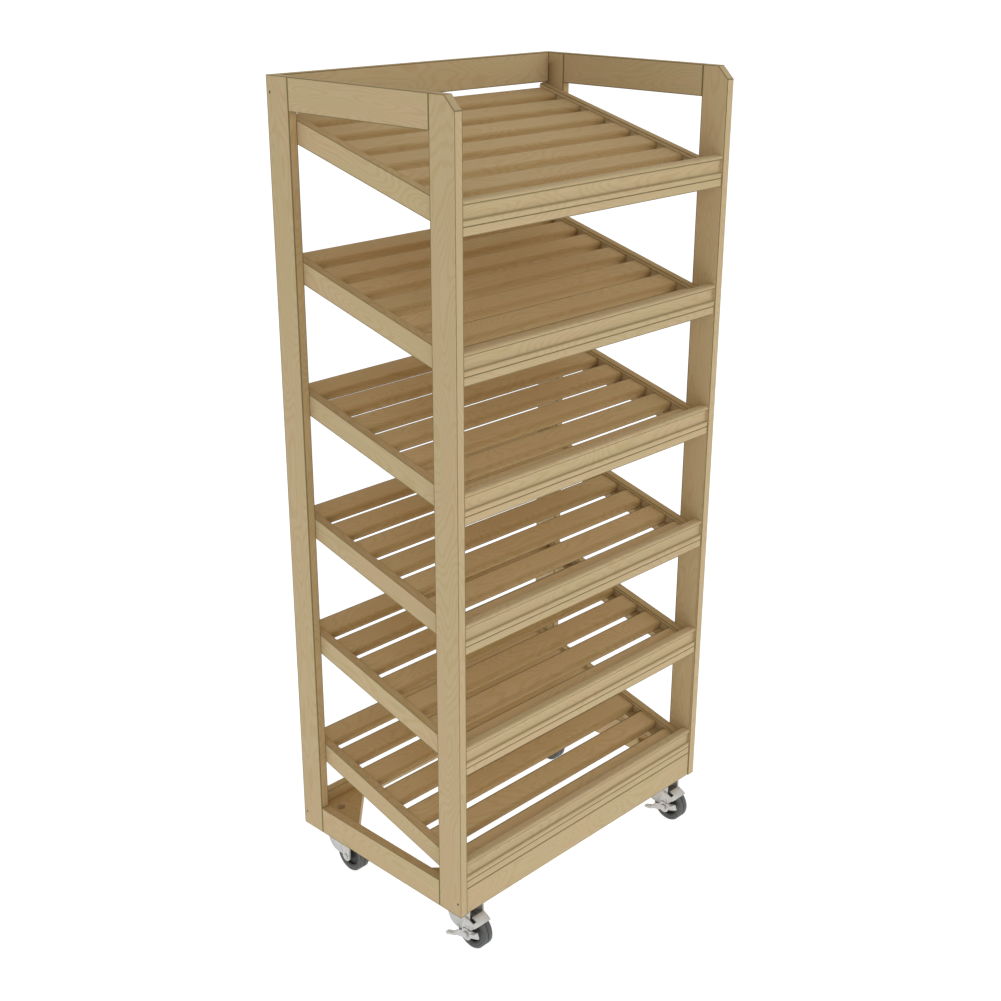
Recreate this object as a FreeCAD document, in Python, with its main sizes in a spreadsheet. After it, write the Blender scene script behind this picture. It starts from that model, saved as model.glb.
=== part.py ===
import FreeCAD, Part
import math
import os
import Sketcher

# Bakery bread rack: a board frame on four swivel casters, with slatted trays that slope
# towards the front and hold the loaves back with a moulded front rail.
# Millimetres. X runs to the right, Y to the back and Z up. The origin is on the floor, in the
# middle of the ground that the rack covers.

# ---------------------------------------------------------------- driving sizes

DRIVING_SIZES = [
    ("rack_width", 746, "outside, over the two side frames"),
    ("rack_depth", 480, "over the front and rear posts"),
    ("post_height", 1560, "foot to top of a post"),
    ("post_width", 60, "post, front to back"),
    ("board_thickness", 18, "posts, frame rails and tray side rails"),
    ("post_chamfer", 24, "cut on the top front corner of a front post"),
    ("top_rail_height", 60, "upper side rails and rear top rail"),
    ("bottom_rail_height", 60, "lower side rails and rear bottom rail"),
    ("plinth_height", 58, "front plinth"),
    ("plinth_thickness", 12, "front plinth"),
    ("front_setback", 2, "plinth and front rails behind the post fronts"),
    ("block_leg", 135, "corner block along each rail"),
    ("block_height", 36, "corner block"),
    ("block_bore", 17, "diameter of the caster hole in a corner block"),
    ("king_inset", 38, "caster hole from the inside of each rail"),
    ("screw_length", 46, "frame screw, over all"),
    ("screw_head", 5, "diameter of a screw head"),
    ("screw_head_height", 3, "screw head"),
    ("screw_shank", 3, "diameter of a screw shank"),
    ("screw_point", 4, "pointed end of a screw"),
    ("screw_recess", 1, "screw head below the face of the post"),
    ("screw_gap", 0.1, "screw to the wall of its hole"),
    ("tray_count", 6, "trays"),
    ("tray_angle", 15, "slope of a tray, degrees"),
    ("rear_gap", 2.1, "top tray below the rear top rail"),
    ("side_rail_height", 42, "tray side rail, square to the slope"),
    ("slat_drop", 8, "slats below the top edge of the side rails"),
    ("housing_depth", 3, "slat ends let into the side rails"),
    ("slat_count", 7, "slats in a tray, the narrow front one included"),
    ("slat_width", 50, "full slat"),
    ("slat_thickness", 18, "slat"),
    ("slat_round", 6, "radius along the upper edges of a slat"),
    ("front_slat_width", 46.5, "top face of the slat behind the front rail"),
    ("cleat_width", 23, "cleat under the slat ends, housing included"),
    ("front_rail_height", 60, "moulded front rail"),
    ("front_rail_thickness", 18, "moulded front rail"),
    ("front_lip", 23.7, "front rail above the slats behind it"),
    ("lip_round", 5, "radius on the top front edge of the front rail"),
    ("lip_height", 7.3, "flat lip above the cove"),
    ("cove_step", 3.5, "depth of the cove's upper end"),
    ("cove_height", 26.1, "cove, top to bottom"),
    ("cove_radius", 30, "hollow of the cove"),
    ("bead_round", 2.5, "radius on the top edge of the bead"),
    ("bead_height", 9.3, "bead below the cove"),
    ("quirk_width", 1.6, "groove below the bead"),
    ("quirk_depth", 1, "groove below the bead"),
    ("caster_height", 100.5, "floor to the foot of the frame"),
    ("caster_trail", 35, "axle in front of the kingpin"),
    ("wheel_diameter", 75, "over the tyre"),
    ("wheel_width", 24, "over the tyre"),
    ("tyre_round", 1.2, "radius on the edges of the tread"),
    ("tread_groove", 1.5, "width of the groove round the tread"),
    ("tread_groove_depth", 0.8, "groove round the tread"),
    ("rim_radius", 27, "hub rim, under the tyre"),
    ("rim_width", 20, "hub rim"),
    ("rim_wall", 3, "hub rim"),
    ("hub_web", 8, "disc between rim and boss"),
    ("hub_boss_radius", 9, "boss round the axle"),
    ("axle_radius", 4, "axle"),
    ("running_gap", 0.05, "radial gap of a turning fit"),
    ("side_gap", 0.3, "gap between faces that slide past each other"),
    ("stem_depth", 28, "caster stem inside the corner block"),
    ("stem_chamfer", 2, "top edge of the caster stem"),
    ("stem_gap", 0.1, "stem sleeve to the wall of its hole"),
    ("race_radius", 22, "fixed race under the corner block"),
    ("race_thickness", 4, "fixed race"),
    ("king_radius", 6, "kingpin"),
    ("king_head_radius", 9, "riveted head of the kingpin"),
    ("king_head_height", 3, "riveted head of the kingpin"),
    ("crown_radius", 20, "turning race on the fork"),
    ("crown_drop", 8, "top of the fork below the foot of the frame"),
    ("fork_wall", 2.5, "pressed sheet of the fork"),
    ("fork_inside", 35, "between the cheeks"),
    ("leg_emboss", 1.5, "leg pressed out of the cheek"),
    ("leg_radius", 11, "half width of a leg, round the axle"),
    ("fork_rear", 22, "fork behind the kingpin"),
    ("skirt_radius", 29, "curve of the skirt behind the wheel"),
    ("fork_shoulder", 6, "radius on the top front corner of a cheek"),
    ("fork_bend", 2, "radius where the cheeks fold down from the crown"),
    ("cheek_cut", 7, "cut back in front of the upper cheeks, beside a brake shoe"),
    ("cheek_cut_rise", 24, "lower end of that cut, above the axle"),
    ("rivet_radius", 5.5, "head of a rear axle"),
    ("rivet_height", 2, "head of a rear axle"),
    ("bolt_flats", 13, "hexagon of a front axle, across the flats"),
    ("bolt_head_height", 4, "hexagon head of a front axle"),
    ("nut_height", 6.5, "nut of a front axle"),
    ("shoe_thickness", 2, "brake shoe sheet"),
    ("shoe_width", 32, "brake shoe between the cheeks"),
    ("shoe_fold", 4, "outside radius of the fold between the shoe and its flange"),
    ("shoe_gap", 0.5, "brake shoe off the tread when it is set"),
    ("shoe_low_angle", 45, "lower edge of the shoe, up from the front of the wheel"),
    ("shoe_step_angle", 60, "where the shoe narrows to pass between the cheeks"),
    ("shoe_high_angle", 79, "upper edge of the shoe"),
    ("pivot_back", 3, "shoe pivot behind the axle"),
    ("pivot_rise", 32, "shoe pivot above the axle"),
    ("pivot_radius", 2.5, "shoe pivot pin"),
    ("pivot_head", 4, "radius of the head on the pivot pin"),
    ("pivot_head_height", 1, "head on the pivot pin, and the stud"),
    ("ear_radius", 6.5, "sheet round the shoe pivot"),
    ("stud_front", 3, "stud on the flange in front of the axle"),
    ("stud_rise", 16.8, "stud on the flange above the axle"),
    ("stud_radius", 2.8, "stud on the flange"),
    ("cam_radius", 8, "cam on the brake lever"),
    ("cam_throw", 3.5, "centre of the cam from the axle"),
    ("cam_angle", 17.5, "centre of the cam behind the upright when the brake is set"),
    ("yoke_gap", 0.3, "cam to the yoke of the shoe"),
    ("yoke_wall", 4, "prong of the yoke"),
    ("yoke_reach", 3, "prongs below the centre of the cam"),
    ("lever_thickness", 2, "brake lever sheet"),
    ("lever_hub_radius", 13, "lever round the axle"),
    ("lever_half_width", 7, "arm of the lever"),
    ("lever_front", 36, "lever in front of the axle"),
    ("lever_rear", 48, "lever behind the axle"),
    ("lever_tilt", 20, "front end of the lever up when the brake is set, degrees"),
    ("lever_step", 4, "end of the rear arm outside the rest of the lever"),
    ("lever_step_length", 9, "slanting part of the rear arm"),
    ("lever_end_half_width", 5, "end of the rear arm"),
    ("lever_corner", 3, "rounding of the arms of the lever"),
    ("pad_length", 14, "foot tab along the lever"),
    ("pad_width", 9, "foot tab outwards from the lever"),
    ("pad_radius", 4, "rounding of a foot tab"),
    ("pad_thickness", 4, "foot tab, top to bottom"),
]

doc = FreeCAD.newDocument("bread_rack")
sheet = doc.addObject("Spreadsheet::Sheet", "dims")
for row, (alias, value, meaning) in enumerate(DRIVING_SIZES, start=1):
    sheet.set(f"A{row}", meaning)
    sheet.set(f"B{row}", str(value))
    sheet.setAlias(f"B{row}", alias)
doc.recompute()


# ---------------------------------------------------------------- sizes with their formulas

class Size:
    """A number together with the formula that works it out from the sheet."""

    def __init__(self, value, formula=None):
        self.value = float(value)
        self.formula = formula or f"({float(value)!r})"

    def __add__(self, other):
        other = as_size(other)
        return Size(self.value + other.value, f"({self.formula} + {other.formula})")

    def __sub__(self, other):
        other = as_size(other)
        return Size(self.value - other.value, f"({self.formula} - {other.formula})")

    def __mul__(self, other):
        other = as_size(other)
        return Size(self.value * other.value, f"({self.formula} * {other.formula})")

    def __truediv__(self, other):
        other = as_size(other)
        return Size(self.value / other.value, f"({self.formula} / {other.formula})")

    def __neg__(self):
        return Size(-self.value, f"(0 - {self.formula})")

    def __radd__(self, other):
        return as_size(other) + self

    def __rsub__(self, other):
        return as_size(other) - self

    def __rmul__(self, other):
        return as_size(other) * self


class SheetSizes:
    """The driving sizes by name, such as dims.rack_width."""

    def __getattr__(self, alias):
        return Size(sheet.get(alias), f"dims.{alias}")


def as_size(value):
    return value if isinstance(value, Size) else Size(value)


def cosine(angle):
    return Size(math.cos(math.radians(angle.value)), f"cos({angle.formula})")


def sine(angle):
    return Size(math.sin(math.radians(angle.value)), f"sin({angle.formula})")


def set_size(target, path, size):
    """Bind a property of an object to the formula of a size."""
    target.setExpression(path, as_size(size).formula)


dims = SheetSizes()
nodes = {}


# ---------------------------------------------------------------- modelling helpers

def new_body(label):
    body = doc.addObject("PartDesign::Body", label)
    body.Label = label
    return body


def keep(part):
    """List a finished sub-part under its label."""
    nodes[part.Label] = part


def keep_group(label, members):
    """List several like solids as one sub-part."""
    group = doc.addObject("Part::Compound", label)
    group.Label = label
    group.Links = members
    keep(group)


def place(target, x=0, y=0, z=0, axis=(1, 0, 0), angle=0):
    """Put an object at x, y, z, turned by an angle about an axis through that point."""
    turn = as_size(angle)
    rotation = FreeCAD.Rotation(FreeCAD.Vector(*axis), turn.value)
    target.Placement = FreeCAD.Placement(FreeCAD.Vector(), rotation)
    set_size(target, "Placement.Base.x", x)
    set_size(target, "Placement.Base.y", y)
    set_size(target, "Placement.Base.z", z)
    if turn.value:
        set_size(target, "Placement.Rotation.Angle", turn)


def new_sketch(body, plane_role, offset=0):
    """A sketch on one of the body's own planes, or that far along the plane's normal."""
    plane = next(part for part in body.Origin.OriginFeatures if part.Role == plane_role)
    sketch = body.newObject("Sketcher::SketchObject", "outline")
    sketch.AttachmentSupport = [(plane, "")]
    sketch.MapMode = "FlatFace"
    if as_size(offset).value:
        set_size(sketch, "AttachmentOffset.Base.z", offset)
    return sketch


def line(u, v):
    """A corner that a straight edge leads to."""
    return as_size(u), as_size(v), None, None


def arc(u, v, radius, turn):
    """A corner that an arc leads to, turning left or right on the way."""
    return as_size(u), as_size(v), as_size(radius), turn


def sketch_edge(start, end):
    """The line or the shorter arc between two corners."""
    first = FreeCAD.Vector(start[0].value, start[1].value, 0)
    last = FreeCAD.Vector(end[0].value, end[1].value, 0)
    radius, turn = end[2], end[3]
    if radius is None:
        return Part.LineSegment(first, last)
    chord = last - first
    side = 1 if turn == "left" else -1
    inward = FreeCAD.Vector(-chord.y, chord.x, 0).normalize() * side
    height = math.sqrt(max(radius.value ** 2 - (chord.Length / 2) ** 2, 0))
    crown = first + chord / 2 + inward * (height - radius.value)
    return Part.Arc(first, crown, last)


def fix_point(sketch, edge, end, u, v):
    """Hold one point of a sketch at u, v by two constraints."""
    for kind, size in (("DistanceX", u), ("DistanceY", v)):
        index = sketch.addConstraint(Sketcher.Constraint(kind, edge, end, size.value))
        set_size(sketch, f"Constraints[{index}]", size)


def fix_radius(sketch, edge, radius):
    index = sketch.addConstraint(Sketcher.Constraint("Radius", edge, radius.value))
    set_size(sketch, f"Constraints[{index}]", radius)


def draw_outline(sketch, corners):
    """Close an outline through the corners. The first corner ends the closing edge."""
    ends = []
    for index, corner in enumerate(corners):
        start = corners[index - 1]
        edge = sketch.addGeometry(sketch_edge(start, corner), False)
        target = FreeCAD.Vector(corner[0].value, corner[1].value, 0)
        starts_here = sketch.getPoint(edge, 1).distanceToPoint(target)
        ends_here = sketch.getPoint(edge, 2).distanceToPoint(target)
        ends.append((edge, 1, 2) if ends_here < starts_here else (edge, 2, 1))
    for index, corner in enumerate(corners):
        edge, start, end = ends[index]
        following, following_start, following_end = ends[(index + 1) % len(corners)]
        sketch.addConstraint(
            Sketcher.Constraint("Coincident", edge, end, following, following_start))
        fix_point(sketch, edge, end, corner[0], corner[1])
        if corner[2] is not None:
            fix_radius(sketch, edge, corner[2])


def draw_circle(sketch, u, v, radius):
    u, v, radius = as_size(u), as_size(v), as_size(radius)
    centre = FreeCAD.Vector(u.value, v.value, 0)
    circle = Part.Circle(centre, FreeCAD.Vector(0, 0, 1), radius.value)
    edge = sketch.addGeometry(circle, False)
    fix_radius(sketch, edge, radius)
    fix_point(sketch, edge, 3, u, v)


def rectangle(u_low, u_high, v_low, v_high):
    return [line(u_low, v_low), line(u_high, v_low), line(u_high, v_high), line(u_low, v_high)]


def rounded_rectangle(u_low, u_high, v_low, v_high, corner):
    return [arc(u_low + corner, v_low, corner, "left"), line(u_high - corner, v_low),
            arc(u_high, v_low + corner, corner, "left"), line(u_high, v_high - corner),
            arc(u_high - corner, v_high, corner, "left"), line(u_low + corner, v_high),
            arc(u_low, v_high - corner, corner, "left"), line(u_low, v_low + corner)]


def draw(sketch, shape):
    """Draw a circle given as (u, v, radius), or else a list of corners."""
    if isinstance(shape, tuple):
        draw_circle(sketch, *shape)
    else:
        draw_outline(sketch, shape)


def add_slab(body, shape, low, high, plane_role="YZ_Plane"):
    """Add the shape from low to high along the plane's normal."""
    sketch = new_sketch(body, plane_role, low)
    draw(sketch, shape)
    pad = body.newObject("PartDesign::Pad", "slab")
    pad.Profile = sketch
    set_size(pad, "Length", as_size(high) - low)
    return pad


def cut_slab(body, shape, middle, reach, plane_role="YZ_Plane"):
    """Cut the shape away for that reach on both sides of the middle, and see that it cuts."""
    doc.recompute()
    before = body.Shape.Volume
    sketch = new_sketch(body, plane_role, middle)
    draw(sketch, shape)
    pocket = body.newObject("PartDesign::Pocket", "cut")
    pocket.Profile = sketch
    pocket.SideType = "Symmetric"
    set_size(pocket, "Length", 2 * reach)
    doc.recompute()
    if not body.Shape.Volume < before:
        raise RuntimeError(f"{body.Label}: a cut takes nothing away")
    return pocket


def add_turning(body, corners, axis, plane_role):
    """Turn an outline once round the sketch's own H_Axis or V_Axis."""
    sketch = new_sketch(body, plane_role)
    draw_outline(sketch, corners)
    turning = body.newObject("PartDesign::Revolution", "turning")
    turning.Profile = sketch
    turning.ReferenceAxis = (sketch, [axis])
    turning.Angle = 360
    return turning


def round_edges(body, radius, wanted):
    """Round those edges of the body so far for which the test holds."""
    doc.recompute()
    base = body.Tip
    edges = enumerate(base.Shape.Edges, start=1)
    names = [f"Edge{index}" for index, edge in edges if wanted(edge.BoundBox)]
    if not names:
        raise RuntimeError(f"{body.Label}: no edge to round")
    rounding = body.newObject("PartDesign::Fillet", "rounding")
    rounding.Base = (base, names)
    set_size(rounding, "Radius", radius)


def add_box(label, x, y, z, length, width, height):
    """A plain board, from its lowest left front corner."""
    box = doc.addObject("Part::Box", label)
    box.Label = label
    set_size(box, "Length", length)
    set_size(box, "Width", width)
    set_size(box, "Height", height)
    place(box, x, y, z)
    keep(box)


# ---------------------------------------------------------------- places shared by the parts

board = dims.board_thickness
half_width = dims.rack_width / 2
inner_half = half_width - board
half_depth = dims.rack_depth / 2
wheel_radius = dims.wheel_diameter / 2

# The front wheels reach further forward than the posts, so the posts stand a little back.
wheel_reach = (dims.caster_trail + wheel_radius
               - dims.front_setback - dims.plinth_thickness - dims.king_inset)
mid_y = wheel_reach / 2
front_y = mid_y - half_depth
back_y = mid_y + half_depth
foot_z = dims.caster_height
top_z = foot_z + dims.post_height

side_rail_length = dims.rack_depth - 2 * dims.post_width
plinth_back_y = front_y + dims.front_setback + dims.plinth_thickness
rear_rail_front_y = back_y - board
king_x = inner_half - dims.king_inset
front_king_y = plinth_back_y + dims.king_inset
rear_king_y = rear_rail_front_y - dims.king_inset


# ---------------------------------------------------------------- frame

screw_radius = dims.screw_shank / 2 + dims.screw_gap
screw_head_bore = dims.screw_head / 2 + dims.screw_gap
screw_reach = dims.screw_recess + dims.screw_length

# Screw places on the side of the rack: from the front of the posts and from their foot.
plinth_screw = (dims.front_setback + dims.plinth_thickness / 2, dims.plinth_height / 2)
rear_bottom_screw = (dims.rack_depth - board / 2, dims.bottom_rail_height / 2)
rear_top_screw = (dims.rack_depth - board / 2, dims.post_height - dims.top_rail_height / 2)


def make_post(side, end):
    """A post with its screw holes. Side is -1 for the left, end is front or rear."""
    label = f"{'left' if side < 0 else 'right'}_{end}_post"
    body = new_body(label)
    width = dims.post_width
    height = dims.post_height
    chamfer = dims.post_chamfer
    if end == "front":
        corners = [line(0, 0), line(width, 0), line(width, height),
                   line(chamfer, height), line(0, height - chamfer)]
        start = as_size(0)
        screws = [plinth_screw]
    else:
        corners = rectangle(0, width, 0, height)
        start = dims.rack_depth - width
        screws = [rear_bottom_screw, rear_top_screw]
    low = as_size(0) if side < 0 else -board
    add_slab(body, corners, low, low + board)
    for depth, rise in screws:
        cut_slab(body, (depth - start, rise, screw_radius), 0, 2 * board)
        cut_slab(body, (depth - start, rise, screw_head_bore), 0,
                 dims.screw_recess + dims.screw_head_height)
    place(body, side * half_width, front_y + start, foot_z)
    keep(body)


def make_cross_board(label, y, z, thickness, height):
    """A board between the side frames, drilled at both ends for a screw."""
    body = new_body(label)
    add_slab(body, rectangle(0, thickness, 0, height), -inner_half, inner_half)
    pilot = (thickness / 2, height / 2, screw_radius)
    for side in (-1, 1):
        cut_slab(body, pilot, side * inner_half, screw_reach - board + dims.screw_gap)
    place(body, 0, y, z)
    keep(body)


def make_screw(side, screw_place):
    body = new_body("frame_screw")
    length = dims.screw_length
    head = dims.screw_head / 2
    shank = dims.screw_shank / 2
    corners = [line(0, 0), line(0, head), line(dims.screw_head_height, head),
               line(dims.screw_head_height, shank), line(length - dims.screw_point, shank),
               line(length, 0)]
    add_turning(body, corners, "H_Axis", "XY_Plane")
    depth, rise = screw_place
    outside = half_width - dims.screw_recess
    place(body, side * outside, front_y + depth, foot_z + rise, (0, 0, 1), 0 if side < 0 else 180)
    return body


def make_corner_block(x, y, quarter_turns):
    body = new_body("corner_block")
    leg = dims.block_leg
    add_slab(body, [line(0, 0), line(leg, 0), line(0, leg)], 0, dims.block_height, "XY_Plane")
    hole = (dims.king_inset, dims.king_inset, dims.block_bore / 2)
    cut_slab(body, hole, 0, 2 * dims.block_height, "XY_Plane")
    place(body, x, y, foot_z, (0, 0, 1), 90 * quarter_turns)
    return body


for side in (-1, 1):
    make_post(side, "front")
    make_post(side, "rear")
    hand = "left" if side < 0 else "right"
    outer_x = -half_width if side < 0 else inner_half
    rail_y = front_y + dims.post_width
    add_box(f"{hand}_top_rail", outer_x, rail_y, top_z - dims.top_rail_height,
            board, side_rail_length, dims.top_rail_height)
    add_box(f"{hand}_bottom_rail", outer_x, rail_y, foot_z,
            board, side_rail_length, dims.bottom_rail_height)

make_cross_board("rear_top_rail", rear_rail_front_y, top_z - dims.top_rail_height,
                 board, dims.top_rail_height)
make_cross_board("rear_bottom_rail", rear_rail_front_y, foot_z, board, dims.bottom_rail_height)
make_cross_board("front_plinth", front_y + dims.front_setback, foot_z,
                 dims.plinth_thickness, dims.plinth_height)

keep_group("frame_screws", [
    make_screw(side, screw_place)
    for side in (-1, 1)
    for screw_place in (plinth_screw, rear_bottom_screw, rear_top_screw)
])
keep_group("corner_blocks", [
    make_corner_block(-inner_half, plinth_back_y, 0),
    make_corner_block(inner_half, plinth_back_y, 1),
    make_corner_block(inner_half, rear_rail_front_y, 2),
    make_corner_block(-inner_half, rear_rail_front_y, 3),
])


# ---------------------------------------------------------------- trays

# A tray is drawn level and then tilted about the middle of the rack's depth. Along is the
# distance up the slope from there, and level is the height over the side rails' top edge.
slope_cos = cosine(dims.tray_angle)
slope_sin = sine(dims.tray_angle)
front_rail_back = dims.front_setback + dims.front_rail_thickness - half_depth
slat_top = -dims.slat_drop
slat_bottom = slat_top - dims.slat_thickness
rail_bottom = -dims.side_rail_height
rear_along = (half_depth + rail_bottom * slope_sin) / slope_cos


def along_front_rail(level):
    """Where a level of the tilted tray meets the upright back of the front rail."""
    return (front_rail_back + level * slope_sin) / slope_cos


front_along = along_front_rail(slat_top)
slat_top_at_front = front_along * slope_sin + slat_top * slope_cos
front_rail_top = slat_top_at_front + dims.front_lip
slat_pitch = (rear_along - front_along - dims.front_slat_width) / (dims.slat_count - 1)

lowest_tray_z = foot_z + dims.plinth_height + dims.front_rail_height - front_rail_top
highest_tray_z = top_z - dims.top_rail_height - dims.rear_gap - rear_along * slope_sin
tray_pitch = (highest_tray_z - lowest_tray_z) / (dims.tray_count - 1)


def sloping_bar(top, bottom, square_rear=rear_along):
    """Outline of a bar between two levels, from the front rail to the rear of the tray."""
    return [line(along_front_rail(top), top), line(square_rear, top),
            line(square_rear, bottom), line(along_front_rail(bottom), bottom)]


def add_tray_bar(body, side, outline, outer, inner):
    """Add a bar that lies between two distances from the middle of the rack."""
    low, high = (-outer, -inner) if side < 0 else (inner, outer)
    add_slab(body, outline, low, high)


def make_side_rail(label, side, tray_z):
    """A side rail with a lip over the ends of the slats."""
    body = new_body(label)
    housing_x = inner_half - board + dims.housing_depth
    add_tray_bar(body, side, sloping_bar(as_size(0), rail_bottom), inner_half, housing_x)
    add_tray_bar(body, side, sloping_bar(as_size(0), slat_top), inner_half, inner_half - board)
    place(body, 0, mid_y, tray_z, angle=dims.tray_angle)
    keep(body)


def make_cleat(side, tray_z):
    body = new_body("cleat")
    housing_x = inner_half - board + dims.housing_depth
    outline = sloping_bar(slat_bottom, rail_bottom)
    add_tray_bar(body, side, outline, housing_x, housing_x - dims.cleat_width)
    place(body, 0, mid_y, tray_z, angle=dims.tray_angle)
    return body


def make_slats(label, tray_z):
    """The slats of one tray: a row of like ones, and a narrow one bevelled to the front rail."""
    body = new_body(label)
    half_length = inner_half - board + dims.housing_depth
    width = dims.slat_width
    edge = dims.slat_round
    rear = rear_along
    full = [line(rear, slat_bottom), line(rear, slat_top - edge),
            arc(rear - edge, slat_top, edge, "left"), line(rear - width + edge, slat_top),
            arc(rear - width, slat_top - edge, edge, "left"), line(rear - width, slat_bottom)]
    row_start = add_slab(body, full, -half_length, half_length)
    row = body.newObject("PartDesign::LinearPattern", "row")
    row.Originals = [row_start]
    y_axis = next(part for part in body.Origin.OriginFeatures if part.Role == "Y_Axis")
    row.Direction = (y_axis, [""])
    row.Reversed = True
    set_size(row, "Length", slat_pitch * (dims.slat_count - 2))
    set_size(row, "Occurrences", dims.slat_count - 1)
    body.Tip = row
    doc.recompute()
    rear = rear_along - slat_pitch * (dims.slat_count - 1)
    narrow = [line(rear, slat_bottom), line(rear, slat_top - edge),
              arc(rear - edge, slat_top, edge, "left"), line(front_along, slat_top),
              line(along_front_rail(slat_bottom), slat_bottom)]
    add_slab(body, narrow, -half_length, half_length)
    place(body, 0, mid_y, tray_z, angle=dims.tray_angle)
    keep(body)


def make_front_rail(label, tray_z):
    """The moulded rail: a rounded lip, a cove, a bead and a groove above a plain face."""
    body = new_body(label)
    cove_top = -dims.lip_height
    cove_end = cove_top - dims.cove_height
    bead_end = cove_end - dims.bead_height
    bead = dims.bead_round
    lip = dims.lip_round
    thick = dims.front_rail_thickness
    foot = -dims.front_rail_height
    profile = [
        line(lip, 0),
        arc(0, -lip, lip, "left"),
        line(0, cove_top),
        line(dims.cove_step, cove_top),
        arc(bead, cove_end, dims.cove_radius, "right"),
        arc(0, cove_end - bead, bead, "left"),
        line(0, bead_end),
        line(dims.quirk_depth, bead_end - dims.quirk_width / 2),
        line(0, bead_end - dims.quirk_width),
        line(0, foot),
        line(thick, foot),
        line(thick, 0),
    ]
    add_slab(body, profile, -inner_half, inner_half)
    place(body, 0, front_y + dims.front_setback, tray_z + front_rail_top)
    keep(body)


cleats = {-1: [], 1: []}
for tray in range(int(dims.tray_count.value)):
    tray_z = lowest_tray_z + tray * tray_pitch
    name = f"tray_{tray + 1}"
    make_side_rail(f"{name}_left_rail", -1, tray_z)
    make_side_rail(f"{name}_right_rail", 1, tray_z)
    make_front_rail(f"{name}_front_rail", tray_z)
    make_slats(f"{name}_slats", tray_z)
    for side in (-1, 1):
        cleats[side].append(make_cleat(side, tray_z))
keep_group("left_cleats", cleats[-1])
keep_group("right_cleats", cleats[1])


# ---------------------------------------------------------------- casters

# Drawn about the kingpin, with zero height at the foot of the frame. The wheels trail forward.
axle_drop = dims.caster_height - wheel_radius
cheek_inside = dims.fork_inside / 2
cheek_face = cheek_inside + dims.fork_wall
leg_face = cheek_face + dims.leg_emboss
shoe_inner = leg_face + dims.side_gap
shoe_outer = shoe_inner + dims.shoe_thickness
lever_inner = shoe_outer + dims.side_gap
lever_outer = lever_inner + dims.lever_thickness
bolt_face = lever_outer + dims.side_gap
axle_bore = dims.axle_radius + dims.running_gap
pivot_bore = dims.pivot_radius + dims.running_gap


def make_stem(x, y):
    """The fixed half of a caster: sleeve, race and riveted kingpin, turned in one."""
    body = new_body("caster_stem")
    sleeve = dims.block_bore / 2 - dims.stem_gap
    king = dims.king_radius
    head = dims.king_head_radius
    race = dims.race_radius
    race_end = -dims.race_thickness
    head_top = -(dims.crown_drop + dims.fork_wall + dims.side_gap)
    head_end = head_top - dims.king_head_height
    bevel = dims.stem_chamfer
    corners = [line(0, dims.stem_depth), line(sleeve - bevel, dims.stem_depth),
               line(sleeve, dims.stem_depth - bevel), line(sleeve, 0), line(race, 0),
               line(race, race_end), line(king, race_end), line(king, head_top),
               line(head, head_top), line(head, head_end), line(0, head_end)]
    add_turning(body, corners, "V_Axis", "XZ_Plane")
    place(body, x, y, foot_z)
    return body


def make_fork(name, x, y, braked):
    """Pressed fork: a skirt over the rear of the wheel, embossed legs and a raised race."""
    body = new_body(f"{name}_fork")
    trail = dims.caster_trail
    leg = dims.leg_radius
    leg_front = -(trail + leg)
    leg_rear = -(trail - leg)
    top = -dims.crown_drop
    shoulder = dims.fork_shoulder
    shoulder_end = top - shoulder
    skirt = dims.skirt_radius
    clear = dims.wheel_diameter
    front = leg_front
    rounded_foot = [line(leg_front, -axle_drop),
                    arc(-trail, -(axle_drop + leg), leg, "left"),
                    arc(leg_rear, -axle_drop, leg, "left")]
    if braked:
        front = leg_front + dims.cheek_cut
        cut_end = dims.cheek_cut_rise - axle_drop
        rounded_foot = [line(front, cut_end + dims.cheek_cut), line(leg_front, cut_end),
                        *rounded_foot]
    cheek = [line(dims.fork_rear, top), line(front + shoulder, top),
             arc(front, shoulder_end, shoulder, "left"), *rounded_foot,
             line(dims.fork_rear - skirt, -axle_drop),
             arc(dims.fork_rear, skirt - axle_drop, skirt, "left")]
    embossed = [line(leg_rear, shoulder_end), line(front, shoulder_end), *rounded_foot]
    def is_fold(box):
        level = abs(box.ZMin - top.value) < 0.01 and abs(box.ZMax - top.value) < 0.01
        return level and box.YLength > shoulder.value and box.XLength < 0.01

    add_slab(body, cheek, -cheek_face, cheek_face)
    round_edges(body, dims.fork_bend, is_fold)
    add_slab(body, embossed, -leg_face, leg_face)
    add_slab(body, (0, 0, dims.crown_radius), top, -(dims.race_thickness + dims.side_gap),
             "XY_Plane")
    inside = rectangle(-clear, clear, -2 * clear, top - dims.fork_wall)
    cut_slab(body, inside, 0, cheek_inside)
    cut_slab(body, rectangle(-clear, leg_rear, -clear, clear), 0, cheek_inside)
    cut_slab(body, (0, 0, dims.king_radius + dims.running_gap), 0, clear, "XY_Plane")
    cut_slab(body, (-trail, -axle_drop, axle_bore), 0, clear)
    if braked:
        pivot = (dims.pivot_back - trail, dims.pivot_rise - axle_drop, pivot_bore)
        cut_slab(body, pivot, -cheek_face, dims.fork_wall + dims.leg_emboss)
    place(body, x, y, foot_z)
    keep(body)


def place_at_axle(body, x, y, angle=0):
    place(body, x, y - dims.caster_trail, foot_z - axle_drop, angle=angle)
    keep(body)


def make_hub(name, x, y):
    body = new_body(f"{name}_hub")
    bore = axle_bore
    boss = dims.hub_boss_radius
    boss_end = cheek_inside - dims.side_gap
    web = dims.hub_web / 2
    rim = dims.rim_width / 2
    rim_inside = dims.rim_radius - dims.rim_wall
    half = [(boss_end, bore), (boss_end, boss), (web, boss), (web, rim_inside),
            (rim, rim_inside), (rim, dims.rim_radius)]
    corners = [line(across, radius) for across, radius in half]
    corners += [line(-across, radius) for across, radius in reversed(half)]
    add_turning(body, corners, "H_Axis", "XY_Plane")
    place_at_axle(body, x, y)


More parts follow.
